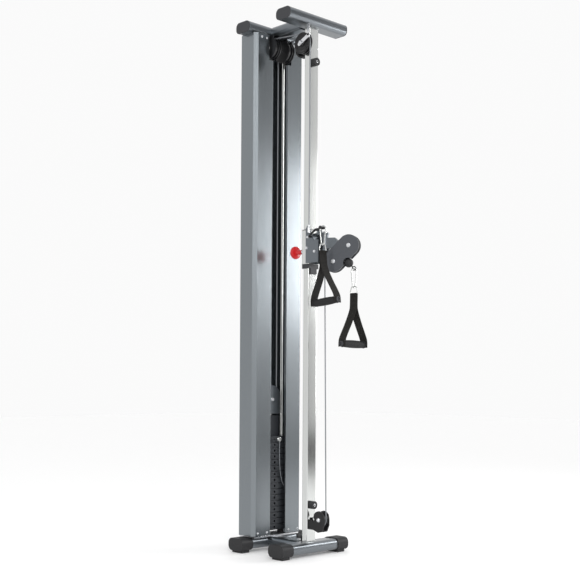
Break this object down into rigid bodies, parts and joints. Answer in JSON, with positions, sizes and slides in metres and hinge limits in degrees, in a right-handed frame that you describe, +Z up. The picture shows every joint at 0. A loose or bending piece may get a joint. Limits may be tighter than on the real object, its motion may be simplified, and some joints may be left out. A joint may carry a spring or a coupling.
{
  "type": "cable pulley station",
  "caption": "Free-standing cable station: chrome column with a sliding pulley carriage and swivel head, a covered weight stack behind it and two strap handles.",
  "frame": {"origin": "middle of the bounding box's underside, on the floor", "axes": "+Z up, -Y towards the user, +X to the right of a user who faces the machine"},
  "size_m": [0.374, 0.504, 2.18],
  "materials": {
    "frame_paint": "satin blue-grey",
    "chrome": "polished",
    "bright_steel": "zinc plated",
    "cover_paint": "metallic satin",
    "plate_paint": "satin",
    "cheek_paint": "satin",
    "black_paint": "satin",
    "rubber": "matt",
    "plastic": "matt",
    "nylon": "moulded",
    "red_plastic": "gloss",
    "iron": "black painted",
    "cable": "coated steel cable",
    "webbing": "woven",
    "foam": "textured"
  },
  "bodies": {
    "tower": {"base_spine_tube": "frame_paint", "cable_fixed_runs": "cable", "column": "chrome", "floor_wheel_housing": "black_paint", "foot_caps": "rubber", "frame_fasteners": "bright_steel", "front_foot_tube": "frame_paint", "guide_rods": "chrome", "left_shroud": "cover_paint", "rear_foot_tube": "frame_paint", "right_shroud": "cover_paint", "rubber_bumpers": "rubber", "stack_base_plate": "bright_steel", "top_brackets": "black_paint", "top_caps": "plastic", "top_front_tube": "frame_paint", "top_rear_tube": "frame_paint", "top_spine_tube": "frame_paint", "weight_plates": "iron", "wheel_bolts": "bright_steel"},
    "carriage": {"carriage_sleeve": "chrome", "slide_bushes": "plastic", "carriage_plates": "plate_paint", "carriage_bolts": "bright_steel", "pop_pin_barrel": "bright_steel", "handle_hook": "black_paint", "cable_carriage_runs": "cable"},
    "pop_pin": {"pop_pin_plunger": "bright_steel", "pop_pin_knob": "red_plastic"},
    "swivel_head": {"head_cheeks": "cheek_paint", "head_bolts": "bright_steel", "swivel_yoke": "plate_paint", "cable_head_run": "cable"},
    "lower_wheel": {"lower_head_wheel": "nylon"},
    "upper_wheel": {"upper_head_wheel": "nylon"},
    "cable_end": {"ball_stop": "rubber"},
    "front_wheel": {"front_top_wheel": "nylon"},
    "column_wheel": {"column_top_wheel": "nylon"},
    "left_wheel": {"left_stack_wheel": "nylon"},
    "right_wheel": {"right_stack_wheel": "nylon"},
    "base_wheel": {"floor_wheel": "nylon"},
    "roller": {"foot_roller": "nylon"},
    "lift_pulley": {"lift_wheel": "nylon"},
    "lifted_stack": {"head_plate": "iron", "selector_stem": "chrome", "lift_bracket": "plate_paint", "lift_bolt": "bright_steel", "cable_stack_run": "cable", "pin_lanyard": "plastic"},
    "stack_pin": {"selector_pin": "chrome"},
    "left_carabiner_body": {"left_carabiner": "chrome", "left_ring": "chrome"},
    "left_gate_body": {"left_gate": "chrome"},
    "left_strap_body": {"left_strap": "webbing"},
    "left_grip_body": {"left_grip": "foam"},
    "right_carabiner_body": {"right_carabiner": "chrome", "right_ring": "chrome"},
    "right_gate_body": {"right_gate": "chrome"},
    "right_strap_body": {"right_strap": "webbing"},
    "right_grip_body": {"right_grip": "foam"}
  },
  "joints": [
    {"name": "carriage_slide", "type": "slide", "parent": "tower", "child": "carriage", "axis": [0, 0, 1], "range_m": [-0.78, 0.65], "deforming": ["cable_carriage_runs"]},
    {"name": "pop_pin_pull", "type": "slide", "parent": "carriage", "child": "pop_pin", "axis": [0, 1, 0], "range_m": [0, 0.012], "stiffness_N_per_m": 700},
    {"name": "head_swivel", "type": "hinge", "parent": "carriage", "child": "swivel_head", "pos_m": [0, -0.11646, 1.24], "axis": [0, 0, 1], "range_deg": [-34, 24]},
    {"name": "lower_wheel_spin", "type": "hinge", "parent": "swivel_head", "child": "lower_wheel", "pos_m": [0.01739, -0.15059, 1.182], "axis": [0.891, 0.454, 0], "continuous": true},
    {"name": "upper_wheel_spin", "type": "hinge", "parent": "swivel_head", "child": "upper_wheel", "pos_m": [0.04585, -0.20646, 1.244], "axis": [0.891, 0.454, 0], "continuous": true},
    {"name": "cable_pull", "type": "slide", "parent": "swivel_head", "child": "cable_end", "axis": [0.3192, -0.6265, -0.7111], "range_m": [0, 0.5], "deforming": ["cable_head_run"]},
    {"name": "front_wheel_spin", "type": "hinge", "parent": "tower", "child": "front_wheel", "pos_m": [-0.0383, -0.02547, 2.068], "axis": [1, 0, 0], "continuous": true},
    {"name": "column_wheel_spin", "type": "hinge", "parent": "tower", "child": "column_wheel", "pos_m": [0, 0.00983, 2.066], "axis": [1, 0, 0], "continuous": true},
    {"name": "left_wheel_spin", "type": "hinge", "parent": "tower", "child": "left_wheel", "pos_m": [-0.0383, 0.16523, 2.088], "axis": [1, 0, 0], "continuous": true},
    {"name": "right_wheel_spin", "type": "hinge", "parent": "tower", "child": "right_wheel", "pos_m": [0.0383, 0.16523, 2.088], "axis": [1, 0, 0], "continuous": true},
    {"name": "base_wheel_spin", "type": "hinge", "parent": "tower", "child": "base_wheel", "pos_m": [0, -0.10547, 0.15], "axis": [1, 0, 0], "continuous": true},
    {"name": "roller_spin", "type": "hinge", "parent": "tower", "child": "roller", "pos_m": [0, -0.03997, 0.1362], "axis": [1, 0, 0], "continuous": true},
    {"name": "stack_lift", "type": "slide", "parent": "tower", "child": "lifted_stack", "axis": [0, 0, 1], "range_m": [0, 0.25], "deforming": ["cable_stack_run"]},
    {"name": "lift_wheel_spin", "type": "hinge", "parent": "lifted_stack", "child": "lift_pulley", "pos_m": [0, 0.20353, 0.627], "axis": [0, 1, 0], "continuous": true},
    {"name": "selector_pull", "type": "slide", "parent": "lifted_stack", "child": "stack_pin", "axis": [0, -1, 0], "range_m": [0, 0.06]},
    {"name": "left_hook_swing", "type": "hinge", "parent": "carriage", "child": "left_carabiner_body", "pos_m": [-0.06, -0.16246, 1.3085], "axis": [-1, 0, 0], "range_deg": [-12, 12]},
    {"name": "left_gate_open", "type": "hinge", "parent": "left_carabiner_body", "child": "left_gate_body", "pos_m": [-0.06, -0.17131, 1.25509], "axis": [-1, 0, 0], "range_deg": [0, 13], "stiffness_Nm_per_rad": 0.05},
    {"name": "left_strap_swing", "type": "hinge", "parent": "left_carabiner_body", "child": "left_strap_body", "pos_m": [-0.06, -0.16246, 1.2167], "axis": [-1, 0, 0], "range_deg": [-10, 10]},
    {"name": "left_grip_spin", "type": "hinge", "parent": "left_strap_body", "child": "left_grip_body", "pos_m": [-0.06, -0.17963, 1.0178], "axis": [0, 0.9962, -0.0872], "continuous": true},
    {"name": "right_hook_swing", "type": "hinge", "parent": "cable_end", "child": "right_carabiner_body", "pos_m": [0.05481, -0.22404, 1.14611], "axis": [0, 1, 0], "range_deg": [-12, 12]},
    {"name": "right_gate_open", "type": "hinge", "parent": "right_carabiner_body", "child": "right_gate_body", "pos_m": [0.04597, -0.22404, 1.0907], "axis": [0, 1, 0], "range_deg": [0, 13], "stiffness_Nm_per_rad": 0.05},
    {"name": "right_strap_swing", "type": "hinge", "parent": "right_carabiner_body", "child": "right_strap_body", "pos_m": [0.05481, -0.22404, 1.05231], "axis": [0, 1, 0], "range_deg": [-10, 10]},
    {"name": "right_grip_spin", "type": "hinge", "parent": "right_strap_body", "child": "right_grip_body", "pos_m": [0.05137, -0.22404, 0.85269], "axis": [0.9998, 0, -0.0175], "continuous": true}
  ],
  "couplings": [
    {"joint": "stack_lift", "follows": "cable_pull", "ratio": 0.5}
  ]
}
